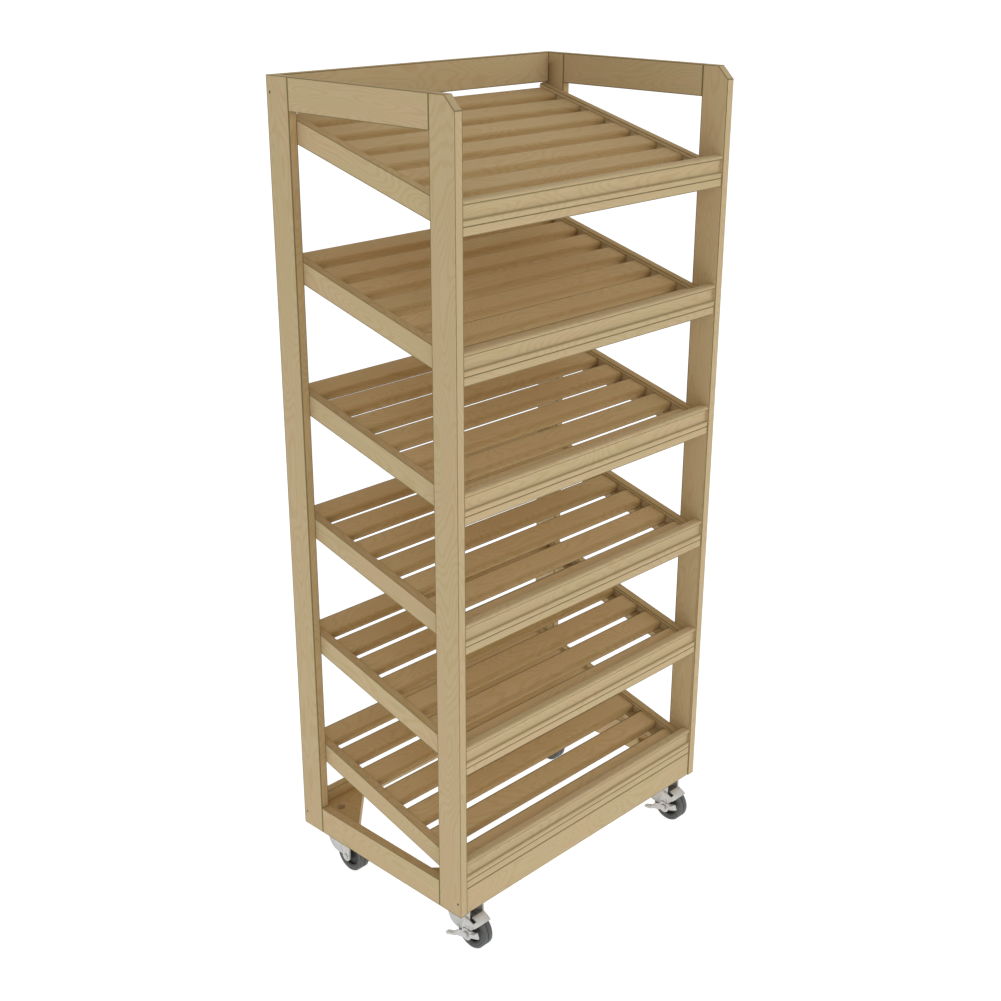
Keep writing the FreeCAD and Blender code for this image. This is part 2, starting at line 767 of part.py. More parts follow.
def make_tyre(name, x, y):
    body = new_body(f"{name}_tyre")
    seat = dims.rim_radius + dims.running_gap
    half = dims.wheel_width / 2
    seat_half = dims.rim_width / 2
    bevel = half - seat_half
    edge = dims.tyre_round
    groove = dims.tread_groove / 2
    groove_radius = wheel_radius - dims.tread_groove_depth
    corners = [line(-seat_half, seat), line(-half, seat + bevel), line(-half, wheel_radius - edge),
               arc(edge - half, wheel_radius, edge, "right"), line(-groove, wheel_radius),
               line(-groove, groove_radius), line(groove, groove_radius),
               line(groove, wheel_radius), line(half - edge, wheel_radius),
               arc(half, wheel_radius - edge, edge, "right"), line(half, seat + bevel),
               line(seat_half, seat)]
    add_turning(body, corners, "H_Axis", "XY_Plane")
    place_at_axle(body, x, y)


def make_riveted_axle(name, x, y):
    body = new_body(f"{name}_axle")
    shank = dims.axle_radius
    head = dims.rivet_radius
    head_face = leg_face + dims.rivet_height
    half = [(head_face, 0), (head_face, head), (leg_face, head), (leg_face, shank)]
    corners = [line(across, radius) for across, radius in half]
    corners += [line(-across, radius) for across, radius in reversed(half)]
    add_turning(body, corners, "H_Axis", "XY_Plane")
    place_at_axle(body, x, y)


def hexagon(across_flats):
    """Corners of an upright hexagon."""
    corner_radius = across_flats / 2 / cosine(as_size(30))
    return [line(corner_radius * cosine(as_size(60 * k)), corner_radius * sine(as_size(60 * k)))
            for k in range(6)]


def make_bolted_axle(name, x, y):
    """The axle of a braked caster: hexagon head outside the lever, nut on the far leg."""
    body = new_body(f"{name}_axle")
    nut_end = leg_face + dims.nut_height
    add_slab(body, (0, 0, dims.axle_radius), -bolt_face, nut_end)
    add_slab(body, hexagon(dims.bolt_flats), -(bolt_face + dims.bolt_head_height), -bolt_face)
    add_slab(body, hexagon(dims.bolt_flats), leg_face, nut_end)
    place_at_axle(body, x, y)


def on_circle(radius, angle):
    """A point round the axle, at an angle up from the front, as distances back and up."""
    return -(radius * cosine(angle)), radius * sine(angle)


def make_brake_shoe(name, x, y):
    """A curved shoe over the tread, hung from a pivot and driven by a yoke round the cam."""
    body = new_body(f"{name}_brake_shoe")
    inner = wheel_radius + dims.shoe_gap
    outer = inner + dims.shoe_thickness
    fold = dims.shoe_fold
    low, step, high = dims.shoe_low_angle, dims.shoe_step_angle, dims.shoe_high_angle

    def band(start, first, last):
        return [arc(*on_circle(start, first), start, "left"), line(*on_circle(outer, first)),
                arc(*on_circle(outer, last), outer, "right"), line(*on_circle(start, last))]

    def is_fold(across, radius):
        top = radius * sine(step)

        def wanted(box):
            level = box.XLength < 0.01 and abs(box.XMin + across.value) < 0.01
            return level and box.YLength > 1.5 * fold.value and abs(box.ZMax - top.value) < 0.01
        return wanted

    add_slab(body, band(inner, low, step), -shoe_outer, 0)
    add_slab(body, band(outer - 2 * fold, low, step), -shoe_outer, -shoe_inner)
    round_edges(body, fold, is_fold(shoe_outer, outer))
    round_edges(body, fold - dims.shoe_thickness, is_fold(shoe_inner, inner))
    add_slab(body, band(inner, low, high), -dims.shoe_width / 2, dims.shoe_width / 2)

    cam_back = dims.cam_throw * sine(dims.cam_angle)
    cam_rise = dims.cam_throw * cosine(dims.cam_angle)
    slot = dims.cam_radius + dims.yoke_gap
    prong = slot + dims.yoke_wall
    slot_top = cam_rise + slot + dims.yoke_gap
    shoulder = slot_top + dims.yoke_wall / 2
    tip = cam_rise - dims.yoke_reach
    ear = dims.ear_radius
    back, rise = dims.pivot_back, dims.pivot_rise
    fold_end = outer - fold
    flange = [
        arc(*on_circle(fold_end, step), fold_end, "right"),
        line(back, rise + ear),
        arc(back + ear, rise, ear, "right"),
        line(cam_back + prong, shoulder),
        line(cam_back + prong, tip),
        line(cam_back + slot, tip),
        line(cam_back + slot, slot_top),
        line(cam_back - slot, slot_top),
        line(cam_back - slot, tip),
        line(cam_back - prong, tip),
        line(cam_back - prong, shoulder),
        line(*on_circle(fold_end, low)),
    ]
    add_slab(body, flange, -shoe_outer, -shoe_inner)
    add_slab(body, (back, rise, dims.pivot_radius), -shoe_outer, -cheek_inside)
    head_face = -(shoe_outer + dims.pivot_head_height)
    add_slab(body, (back, rise, dims.pivot_head), head_face, -shoe_outer)
    add_slab(body, (-dims.stud_front, dims.stud_rise, dims.stud_radius), head_face, -shoe_outer)
    place_at_axle(body, x, y)


def make_brake_lever(name, x, y):
    """A two-armed foot lever with a cam, drawn level and then tilted."""
    body = new_body(f"{name}_brake_lever")
    wall = dims.lever_thickness
    half = dims.lever_half_width
    end_half = dims.lever_end_half_width
    front, rear = dims.lever_front, dims.lever_rear
    corner = dims.lever_corner
    step_end = rear - dims.pad_length
    step_start = step_end - dims.lever_step_length
    stepped = lever_inner + dims.lever_step
    add_slab(body, rounded_rectangle(-front, step_start + corner, -half, half, corner),
             -lever_outer, -lever_inner)
    add_slab(body, (0, 0, dims.lever_hub_radius), -lever_outer, -lever_inner)
    rear_end = [line(-lever_inner, step_start), line(-stepped, step_end), line(-stepped, rear),
                line(-(stepped + wall), rear), line(-(stepped + wall), step_end),
                line(-lever_outer, step_start)]
    add_slab(body, rear_end, -end_half, end_half, "XY_Plane")
    lean = dims.cam_angle - dims.lever_tilt
    cam = (dims.cam_throw * sine(lean), dims.cam_throw * cosine(lean), dims.cam_radius)
    add_slab(body, cam, -lever_inner, -shoe_inner)
    tabs = ((-front, dims.pad_length - front, lever_inner, half),
            (step_end, rear, stepped, end_half))
    for low, high, inner, top in tabs:
        outer = inner + wall + dims.pad_width
        tab = rounded_rectangle(-outer, -inner, low, high, dims.pad_radius)
        add_slab(body, tab, top - dims.pad_thickness, top, "XY_Plane")
    cut_slab(body, (0, 0, axle_bore), 0, 2 * lever_outer)
    place_at_axle(body, x, y, -dims.lever_tilt)


caster_places = {
    "front_left": (-king_x, front_king_y),
    "front_right": (king_x, front_king_y),
    "rear_left": (-king_x, rear_king_y),
    "rear_right": (king_x, rear_king_y),
}
for name, (x, y) in caster_places.items():
    braked = name.startswith("front")
    make_fork(name, x, y, braked)
    make_hub(name, x, y)
    make_tyre(name, x, y)
    if braked:
        make_bolted_axle(name, x, y)
        make_brake_shoe(name, x, y)
        make_brake_lever(name, x, y)
    else:
        make_riveted_axle(name, x, y)
keep_group("caster_stems", [make_stem(x, y) for x, y in caster_places.values()])


# ---------------------------------------------------------------- check and write

doc.recompute()
for part in doc.Objects:
    if "Invalid" in part.State or "Error" in part.State:
        raise RuntimeError(f"{part.Label} did not compute: {part.State}")
for label, part in nodes.items():
    if part.Shape.isNull() or not part.Shape.isValid():
        raise RuntimeError(f"{label} has no valid shape")

os.makedirs("parts", exist_ok=True)
for label, part in nodes.items():
    part.Shape.exportStep(f"parts/{label}.step")
print(f"{len(nodes)} sub-parts written")
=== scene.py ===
import bpy
import bmesh
import math
from mathutils import Matrix, Vector


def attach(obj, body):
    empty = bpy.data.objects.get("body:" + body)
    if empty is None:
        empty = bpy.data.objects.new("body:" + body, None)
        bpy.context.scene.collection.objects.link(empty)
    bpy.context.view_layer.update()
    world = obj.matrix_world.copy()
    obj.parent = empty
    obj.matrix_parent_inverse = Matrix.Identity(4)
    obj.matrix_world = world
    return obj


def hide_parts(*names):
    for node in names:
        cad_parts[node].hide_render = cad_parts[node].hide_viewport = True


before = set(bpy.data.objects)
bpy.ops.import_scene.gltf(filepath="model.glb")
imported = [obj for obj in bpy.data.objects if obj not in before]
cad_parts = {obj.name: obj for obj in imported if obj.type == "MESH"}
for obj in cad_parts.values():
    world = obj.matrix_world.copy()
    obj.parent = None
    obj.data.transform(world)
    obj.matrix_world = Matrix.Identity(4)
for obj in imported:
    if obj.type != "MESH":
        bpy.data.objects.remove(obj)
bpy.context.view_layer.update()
print("frame loaded:", len(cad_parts), "nodes")


# Small helpers. Lengths in the dictionaries are millimetres, the scene is in metres.
mm = 0.001


def linear(hexCode):
    channels = [int(hexCode[start:start + 2], 16) / 255 for start in (1, 3, 5)]
    return [c / 12.92 if c <= 0.04045 else ((c + 0.055) / 1.055) ** 2.4 for c in channels] + [1]


def addNode(tree, kind, inputs=None, **settings):
    node = tree.nodes.new(kind)
    for name, value in settings.items():
        setattr(node, name, value)
    for socket, value in (inputs or {}).items():
        if isinstance(value, bpy.types.NodeSocket):
            tree.links.new(value, node.inputs[socket])
        else:
            node.inputs[socket].default_value = value
    return node


def newMaterial(name):
    material = bpy.data.materials.new(name)
    material.use_nodes = True
    material.node_tree.nodes.clear()
    return material, material.node_tree


def newObject(name, mesh):
    obj = bpy.data.objects.new(name, mesh)
    bpy.context.scene.collection.objects.link(obj)
    return obj


def meshFrom(name, work):
    mesh = bpy.data.meshes.new(name)
    work.to_mesh(mesh)
    work.free()
    return mesh


def camelName(node):
    first, *rest = node.split("_")
    return first + "".join(word.capitalize() for word in rest)


# The finished shape of an object's modifiers as a plain mesh, with the modifiers gone.
def bakeModifiers(obj):
    graph = bpy.context.evaluated_depsgraph_get()
    finished = bpy.data.meshes.new_from_object(obj.evaluated_get(graph))
    obj.modifiers.clear()
    obj.data = finished


# Materials. Each colour is written as the surface would look in plain daylight, except the
# painted shade: the edge colours, the darker slat birch and the faces marked for shade.

birchLook = {
    "pale": "#CAB78F",                # early wood
    "warm": "#CDB590",                # the pinker half of a board
    "deep": "#B18F58",                # late wood lines, and the colour that painted face shade darkens to
    "fleck": "#9B7D50",               # short pores
    "eased": "#857650",               # painted shade on the eased edges, drawn as dark lines
    # A pattern has a length along the grain and a width across it, the detail and roughness of
    # its noise, and the part of the noise that shows.
    "cloud": {"length": 220.0, "width": 30.0, "detail": 1.0, "roughness": 0.4,
              "from": 0.35, "to": 0.65},                    # slow change from pale to warm
    "figure": {"length": 260.0, "width": 60.0, "detail": 1.2, "roughness": 0.3},  # one flame
    "fibre": {"length": 40.0, "width": 1.6, "detail": 3.0, "roughness": 0.6,
              "from": 0.3, "to": 0.75, "depth": 0.14},      # finer in real birch, coarse to show
    "pore": {"length": 4.0, "width": 0.5, "detail": 1.0, "roughness": 0.5,
             "from": 0.62, "to": 0.78, "depth": 0.2},
    "lineCount": 26.0,                # growth lines in a flame
    "lineDepth": 0.18,
    "boardContrast": 0.06,            # how far one board differs from the next
    "boardShift": (9.1, 4.7, 6.3),    # how far apart two boards lie in the patterns, in metres
    "roughness": (0.6, 0.72),
    "specular": 0.05,
    "bump": 0.25,
    "bumpHeight": 0.15,
}
# The slats are a darker, yellower copy of the birch, which paints in the warm shade inside the
# trays.
shadedSlatLook = dict(birchLook, pale="#CCB387", warm="#CEB186", deep="#AE8B50")


# Birch boards, planed, sanded and clear lacquered: a pale, quiet wood with soft flames, fine
# fibre and a dull satin sheen. grainPlace holds the place on the board, X along the grain.
def makeBirch(name, look):
    material, tree = newMaterial(name)
    cloudPlan, fibrePlan, porePlan = look["cloud"], look["fibre"], look["pore"]
    place = addNode(tree, "ShaderNodeAttribute", attribute_name="grainPlace")
    seed = addNode(tree, "ShaderNodeAttribute", attribute_name="boardSeed")
    eased = addNode(tree, "ShaderNodeAttribute", attribute_name="eased")
    faceShade = addNode(tree, "ShaderNodeAttribute", attribute_name="faceShade")
    shift = addNode(tree, "ShaderNodeVectorMath", {
        0: look["boardShift"], "Scale": seed.outputs["Fac"]}, operation="SCALE")
    onBoard = addNode(tree, "ShaderNodeVectorMath", {
        0: place.outputs["Vector"], 1: shift.outputs[0]}, operation="ADD")

    def grainPattern(plan):
        alongScale, acrossScale = 1 / (plan["length"] * mm), 1 / (plan["width"] * mm)
        stretch = addNode(tree, "ShaderNodeMapping", {
            "Vector": onBoard.outputs[0], "Scale": (alongScale, acrossScale, acrossScale)})
        return addNode(tree, "ShaderNodeTexNoise", {
            "Vector": stretch.outputs[0], "Scale": 1.0, "Detail": plan["detail"],
            "Roughness": plan["roughness"]}).outputs["Fac"]

    cloud = grainPattern(cloudPlan)
    figure = grainPattern(look["figure"])
    fibre = grainPattern(fibrePlan)
    pores = grainPattern(porePlan)
    lines = addNode(tree, "ShaderNodeMath", {0: figure, 1: look["lineCount"] * math.tau},
                    operation="MULTIPLY")
    wave = addNode(tree, "ShaderNodeMath", {0: lines.outputs[0]}, operation="SINE")
    lineDepth = addNode(tree, "ShaderNodeMapRange", {
        "Value": wave.outputs[0], "From Min": 0.0, "From Max": 1.0, "To Min": 0.0,
        "To Max": look["lineDepth"]}, interpolation_type="SMOOTHSTEP")
    fibreDepth = addNode(tree, "ShaderNodeMapRange", {
        "Value": fibre, "From Min": fibrePlan["from"], "From Max": fibrePlan["to"],
        "To Min": 0.0, "To Max": fibrePlan["depth"]})
    depth = addNode(tree, "ShaderNodeMath", {
        0: lineDepth.outputs[0], 1: fibreDepth.outputs[0]}, operation="ADD")
    # Painted shade: faces marked for it darken towards the late wood colour.
    darkness = addNode(tree, "ShaderNodeMath", {
        0: depth.outputs[0], 1: faceShade.outputs["Fac"]}, operation="ADD")
    warmth = addNode(tree, "ShaderNodeMapRange", {
        "Value": cloud, "From Min": cloudPlan["from"], "From Max": cloudPlan["to"]})
    ground = addNode(tree, "ShaderNodeMix", {
        "Factor": warmth.outputs[0], 6: linear(look["pale"]), 7: linear(look["warm"])},
        data_type="RGBA")
    wood = addNode(tree, "ShaderNodeMix", {
        "Factor": darkness.outputs[0], 6: ground.outputs[2], 7: linear(look["deep"])},
        data_type="RGBA")
    poreMask = addNode(tree, "ShaderNodeMapRange", {
        "Value": pores, "From Min": porePlan["from"], "From Max": porePlan["to"],
        "To Min": 0.0, "To Max": porePlan["depth"]})
    poreWood = addNode(tree, "ShaderNodeMix", {
        "Factor": poreMask.outputs[0], 6: wood.outputs[2], 7: linear(look["fleck"])},
        data_type="RGBA")
    tone = addNode(tree, "ShaderNodeMapRange", {
        "Value": seed.outputs["Fac"], "From Min": 0.0, "From Max": 1.0,
        "To Min": 1 - look["boardContrast"] / 2, "To Max": 1 + look["boardContrast"] / 2})
    toned = addNode(tree, "ShaderNodeHueSaturation", {
        "Color": poreWood.outputs[2], "Value": tone.outputs[0]})
    # Painted shade: the eased edges and the marked creases darken to the painted edge colour.
    edged = addNode(tree, "ShaderNodeMix", {
        "Factor": eased.outputs["Fac"], 6: toned.outputs[0], 7: linear(look["eased"])},
        data_type="RGBA")
    roughness = addNode(tree, "ShaderNodeMapRange", {
        "Value": fibre, "From Min": fibrePlan["from"], "From Max": fibrePlan["to"],
        "To Min": look["roughness"][0], "To Max": look["roughness"][1]})
    bump = addNode(tree, "ShaderNodeBump", {
        "Height": depth.outputs[0], "Strength": look["bump"],
        "Distance": look["bumpHeight"] * mm})
    shader = addNode(tree, "ShaderNodeBsdfPrincipled", {
        "Base Color": edged.outputs[2], "Roughness": roughness.outputs[0],
        "Normal": bump.outputs[0], "IOR": 1.5, "Specular IOR Level": look["specular"]})
    addNode(tree, "ShaderNodeOutputMaterial", {"Surface": shader.outputs[0]})
    return material


# What the metal, rubber and nylon finishes share.
finishPattern = {
    "cloudDetail": 3.0, "cloudRoughness": 0.55, "cloudFrom": 0.3, "cloudTo": 0.7,
    "gritDetail": 2.0, "gritRoughness": 0.5, "bumpHeight": 0.1,
}


# One finish for the metals and plastics: a colour that drifts a little over a real distance,
# a roughness that drifts with it and a fine bump.
def makeFinish(name, look):
    material, tree = newMaterial(name)
    pattern = finishPattern
    place = addNode(tree, "ShaderNodeTexCoord")
    cloud = addNode(tree, "ShaderNodeTexNoise", {
        "Vector": place.outputs["Object"], "Scale": 1 / (look["cloudSize"] * mm),
        "Detail": pattern["cloudDetail"], "Roughness": pattern["cloudRoughness"]})
    grit = addNode(tree, "ShaderNodeTexNoise", {
        "Vector": place.outputs["Object"], "Scale": 1 / (look["gritSize"] * mm),
        "Detail": pattern["gritDetail"], "Roughness": pattern["gritRoughness"]})
    colour = addNode(tree, "ShaderNodeMix", {
        "Factor": cloud.outputs["Fac"], 6: linear(look["colour"]), 7: linear(look["drift"])},
        data_type="RGBA")
    # Painted shade: the marked edges, rings and grooves darken to the edge colour.
    eased = addNode(tree, "ShaderNodeAttribute", attribute_name="eased")
    edged = addNode(tree, "ShaderNodeMix", {
        "Factor": eased.outputs["Fac"], 6: colour.outputs[2], 7: linear(look["edge"])},
        data_type="RGBA")
    roughness = addNode(tree, "ShaderNodeMapRange", {
        "Value": cloud.outputs["Fac"],
        "From Min": pattern["cloudFrom"], "From Max": pattern["cloudTo"],
        "To Min": look["roughness"][0], "To Max": look["roughness"][1]})
    bump = addNode(tree, "ShaderNodeBump", {
        "Height": grit.outputs["Fac"], "Strength": look["bump"],
        "Distance": pattern["bumpHeight"] * mm})
    shader = addNode(tree, "ShaderNodeBsdfPrincipled", {
        "Base Color": edged.outputs[2], "Roughness": roughness.outputs[0],
        "Normal": bump.outputs[0], "Metallic": look["metallic"]})
    addNode(tree, "ShaderNodeOutputMaterial", {"Surface": shader.outputs[0]})
    return material


# Zinc plated after pressing: pale, soft and cloudy. Its edge colour is painted shade along the
# eased edges.
zincLook = {"colour": "#D3D1CD", "drift": "#C4C2BE", "edge": "#8E8A84", "cloudSize": 9.0,
            "gritSize": 0.5, "roughness": (0.42, 0.54), "bump": 0.15, "metallic": 0.5}
# Screw steel with a yellow passivated coat: dark in the small head, with a metal's sheen.
screwLook = {"colour": "#8E7A58", "drift": "#6E5C40", "edge": "#6E5C40", "cloudSize": 2.0,
             "gritSize": 0.3, "roughness": (0.35, 0.5), "bump": 0.1, "metallic": 1.0}
# Moulded tread rubber: dull and slightly mottled; its edge colour is painted shade in its ring
# and groove.
rubberLook = {"colour": "#6A6A68", "drift": "#5C5C5A", "edge": "#2C2C2B", "cloudSize": 14.0,
              "gritSize": 0.6, "roughness": (0.55, 0.68), "bump": 0.3, "metallic": 0.0}
# Moulded nylon: smooth and black, with a low sheen.
hubLook = {"colour": "#2E2E2D", "drift": "#262625", "edge": "#202020", "cloudSize": 12.0,
           "gritSize": 0.4, "roughness": (0.42, 0.55), "bump": 0.2, "metallic": 0.0}

clearBirch = makeBirch("clearLacqueredBirch", birchLook)
# Painted shade: the slats get the darker, yellower copy of the birch.
shadedSlatBirch = makeBirch("clearLacqueredShadedSlatBirch", shadedSlatLook)
brightZinc = makeFinish("zincPlatedPressedSteel", zincLook)
yellowScrew = makeFinish("yellowPassivatedScrewSteel", screwLook)
greyRubber = makeFinish("greyTreadRubber", rubberLook)
blackNylon = makeFinish("blackMouldedNylon", hubLook)
print("materials made")


# Boards of the frame and the side rails of the trays.

slope = math.radians(15)
grains = {
    "up": Vector((0, 0, 1)),
    "across": Vector((1, 0, 0)),
    "deep": Vector((0, 1, 0)),
    "sloping": Vector((0, math.cos(slope), math.sin(slope))),
}
# Sharp is in degrees, and the ease takes at most a share of the face beside it.
boardEdge = {"ease": 1.8, "segments": 4, "profile": 0.84, "sharp": 40, "shortest": 2.5,
             "share": 0.3, "clamp": False}
profileEdge = dict(boardEdge, segments=2)
levelEdgeFade = 0.7           # how much fainter the painted edge shade is on an edge that faces up or down
# Painted face shade: how dark a face gets, and how squarely it must face the shaded way.
faceShadePlan = {"faceShade": 0.4, "facing": 0.9}
cadClean = {"merge": 0.01, "flat": 0.5}
seedStep = 0.618              # spreads the boards' seeds evenly between 0 and 1


# Say which faces are the eased edges: those in the second material slot. Give them painted edge
# shade, strongest on upright edges and fainter on those facing up or down.
def markEdgeShade(mesh, material):
    eased = mesh.attributes.get("eased") or mesh.attributes.new("eased", "FLOAT", "FACE")
    for mark, face in zip(eased.data, mesh.polygons):
        if face.material_index == 1:
            mark.value = max(mark.value, 1.0 - levelEdgeFade * abs(face.normal.z))
        face.material_index = 0
    mesh.materials.clear()
    mesh.materials.append(material)


# Say where each point lies on its board.
def markGrain(mesh, direction, seed=None):
    along = grains[direction]
    sideways = Vector((1, 0, 0)) if direction != "across" else Vector((0, 1, 0))
    through = along.cross(sideways)
    place = mesh.attributes.new("grainPlace", "FLOAT_VECTOR", "POINT")
    for point, vertex in zip(place.data, mesh.vertices):
        point.vector = (vertex.co.dot(along), vertex.co.dot(sideways), vertex.co.dot(through))
    if seed is not None:
        value = mesh.attributes.new("boardSeed", "FLOAT", "POINT")
        value.data.foreach_set("value", [seed] * len(mesh.vertices))


# Ease the outer sharp edges of a piece, less beside a narrow face, and leave those shorter than
# the plan's shortest, such as the many short ones round a screw hole. The piece keeps its box.
def easeEdges(obj, plan, material):
    work = bmesh.new()
    work.from_mesh(obj.data)
    weight = work.edges.layers.float.new("bevel_weight_edge")
    for edge in work.edges:
        length = edge.calc_length()
        if len(edge.link_faces) < 2 or length < plan["shortest"] * mm:
            continue
        if edge.calc_face_angle_signed() > math.radians(plan["sharp"]):
            room = min(face.calc_area() for face in edge.link_faces) / length
            edge[weight] = min(1.0, plan["share"] * room / (plan["ease"] * mm))
    work.to_mesh(obj.data)
    work.free()
    obj.data.materials.append(material)
    obj.data.materials.append(material)
    bevel = obj.modifiers.new("eased edges", "BEVEL")
    bevel.width = plan["ease"] * mm
    bevel.segments = plan["segments"]
    bevel.profile = plan["profile"]
    bevel.limit_method = "WEIGHT"
    bevel.use_clamp_overlap = plan["clamp"]
    bevel.material = 1
    corners = [Vector(corner) for corner in obj.bound_box]
    low = [min(corner[axis] for corner in corners) for axis in range(3)]
    high = [max(corner[axis] for corner in corners) for axis in range(3)]
    bakeModifiers(obj)
    for point in obj.data.vertices:
        point.co = [min(max(value, low[axis]), high[axis])
                    for axis, value in enumerate(point.co)]
    # Painted edge shade on the eased faces.
    markEdgeShade(obj.data, material)


def copyOfNode(node):
    work = bmesh.new()
    work.from_mesh(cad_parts[node].data)
    bmesh.ops.remove_doubles(work, verts=work.verts, dist=cadClean["merge"] * mm)
    flat = math.radians(cadClean["flat"])
    bmesh.ops.dissolve_limit(work, angle_limit=flat, verts=work.verts, edges=work.edges)
    return meshFrom(camelName(node), work)


# Painted shade on the upper edges of rails and blocks, and on the front edges of the rear posts:
# these faces are darker than the others.
def markShadedFaces(mesh, node):
    if "front_post" in node:
        return
    towards = Vector((0, -1, 0)) if "rear_post" in node else Vector((0, 0, 1))
    faceShade = mesh.attributes.new("faceShade", "FLOAT", "FACE")
    for mark, face in zip(faceShade.data, mesh.polygons):
        if face.normal.dot(towards) > faceShadePlan["facing"]:
            mark.value = faceShadePlan["faceShade"]


def makeBoard(node, direction, seed):
    board = newObject(camelName(node), copyOfNode(node))
    easeEdges(board, boardEdge, clearBirch)
    markShadedFaces(board.data, node)
    markGrain(board.data, direction, seed)
    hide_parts(node)
    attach(board, "rack")
    return board


trayNames = [f"tray_{tray}" for tray in range(1, 7)]
boardGrain = {
    "left_front_post": "up", "right_front_post": "up",
    "left_rear_post": "up", "right_rear_post": "up",
    "left_top_rail": "deep", "right_top_rail": "deep",
    "left_bottom_rail": "deep", "right_bottom_rail": "deep",
    "rear_top_rail": "across", "rear_bottom_rail": "across", "front_plinth": "across",
    "corner_blocks": "across", "left_cleats": "sloping", "right_cleats": "sloping",
}
for name in trayNames:
    boardGrain[f"{name}_left_rail"] = "sloping"
    boardGrain[f"{name}_right_rail"] = "sloping"
for count, (node, direction) in enumerate(boardGrain.items()):
    makeBoard(node, direction, (count * seedStep) % 1)
print("boards made:", len(boardGrain))


# Repeated pieces come from Geometry Nodes: copies of one piece on points, each with a seed.

def finishWithNodes(obj, tree, values):
    modifier = obj.modifiers.new(tree.name, "NODES")
    modifier.node_group = tree
    for item in tree.interface.items_tree:
        if item.item_type == "SOCKET" and item.in_out == "INPUT" and item.name in values:
            modifier[item.identifier] = values[item.name]
    bakeModifiers(obj)


def startTree(name, sockets):
    tree = bpy.data.node_groups.new(name, "GeometryNodeTree")
    tree.interface.new_socket("Geometry", in_out="INPUT", socket_type="NodeSocketGeometry")
    for label, kind in sockets.items():
        tree.interface.new_socket(label, in_out="INPUT", socket_type=kind)
    tree.interface.new_socket("Geometry", in_out="OUTPUT", socket_type="NodeSocketGeometry")
    return tree, addNode(tree, "NodeGroupInput").outputs


# Copies of the piece on the points, turned, given a board seed and made real.
def copiesOnPoints(tree, piece, points, turn, seed, material):
    copies = addNode(tree, "GeometryNodeInstanceOnPoints", {
        "Points": points, "Instance": piece, "Rotation": turn})
    chance = addNode(tree, "FunctionNodeRandomValue", {"Seed": seed}, data_type="FLOAT")
    seeded = addNode(tree, "GeometryNodeStoreNamedAttribute", {
        "Geometry": copies.outputs[0], "Name": "boardSeed", "Value": chance.outputs[1]},
        data_type="FLOAT", domain="INSTANCE")
    real = addNode(tree, "GeometryNodeRealizeInstances", {"Geometry": seeded.outputs[0]})
    coated = addNode(tree, "GeometryNodeSetMaterial", {
        "Geometry": real.outputs[0], "Material": material})
    addNode(tree, "NodeGroupOutput", {"Geometry": coated.outputs[0]})


# A column of level rows on the trays: a line of places down the slope, on a line of trays.
def makeRowTree():
    tree, given = startTree("sloping rows", {
        "Copies": "NodeSocketInt", "Spacing": "NodeSocketFloat", "Trays": "NodeSocketInt",
        "Tray Pitch": "NodeSocketFloat", "Slope": "NodeSocketFloat",
        "Lowest": "NodeSocketVector", "Seed": "NodeSocketInt", "Material": "NodeSocketMaterial"})
    back = addNode(tree, "ShaderNodeMath", {0: given["Spacing"], 1: -1.0}, operation="MULTIPLY")
    step = addNode(tree, "ShaderNodeCombineXYZ", {"Y": back.outputs[0]})
    rise = addNode(tree, "ShaderNodeCombineXYZ", {"Z": given["Tray Pitch"]})
    turn = addNode(tree, "ShaderNodeCombineXYZ", {"X": given["Slope"]})
    row = addNode(tree, "GeometryNodeMeshLine", {
        "Count": given["Copies"], "Offset": step.outputs[0]})
    trays = addNode(tree, "GeometryNodeMeshLine", {
        "Count": given["Trays"], "Start Location": given["Lowest"], "Offset": rise.outputs[0]})
    rows = addNode(tree, "GeometryNodeInstanceOnPoints", {
        "Points": trays.outputs[0], "Instance": row.outputs[0], "Rotation": turn.outputs[0]})
    places = addNode(tree, "GeometryNodeRealizeInstances", {"Geometry": rows.outputs[0]})
    copiesOnPoints(tree, given["Geometry"], places.outputs[0], turn.outputs[0], given["Seed"],
                   given["Material"])
    return tree


# A board of one section, along X. Profile points are depth and height in millimetres. Some of
# the faces that follow them carry painted shade: marks says which, either as dark as the eased
# edges or darkened towards the late wood colour.
def makeProfileBoard(name, profile, halfLength, marks):
    work = bmesh.new()
    layers = {mark: work.faces.layers.float.new(mark) for mark in marks}
    ends = []
    for x in (-halfLength, halfLength):
        ends.append([work.verts.new((x * mm, y * mm, z * mm)) for y, z in profile])
    left, right = ends
    for index in range(len(profile)):
        after = (index + 1) % len(profile)
        face = work.faces.new((left[index], left[after], right[after], right[index]))
        for mark, layer in layers.items():
            face[layer] = marks[mark].get(index, 0.0)
    work.faces.new(left)
    work.faces.new(list(reversed(right)))
    bmesh.ops.recalc_face_normals(work, faces=work.faces)
    board = newObject(name, meshFrom(name, work))
    easeEdges(board, profileEdge, clearBirch)
    markGrain(board.data, "across")
    return board


# Shade as one curve what bends by less than this, in degrees.
smoothBelow = {"board": 30, "turned": 35, "steel": 40}


def smoothCurves(mesh, limit):
    mesh.polygons.foreach_set("use_smooth", [True] * len(mesh.polygons))
    mesh.set_sharp_from_angle(angle=math.radians(limit))


def arcPoints(centreY, centreZ, radius, first, last, steps):
    angles = [math.radians(first + (last - first) * k / steps) for k in range(steps + 1)]
    return [(centreY + radius * math.cos(a), centreZ + radius * math.sin(a)) for a in angles]


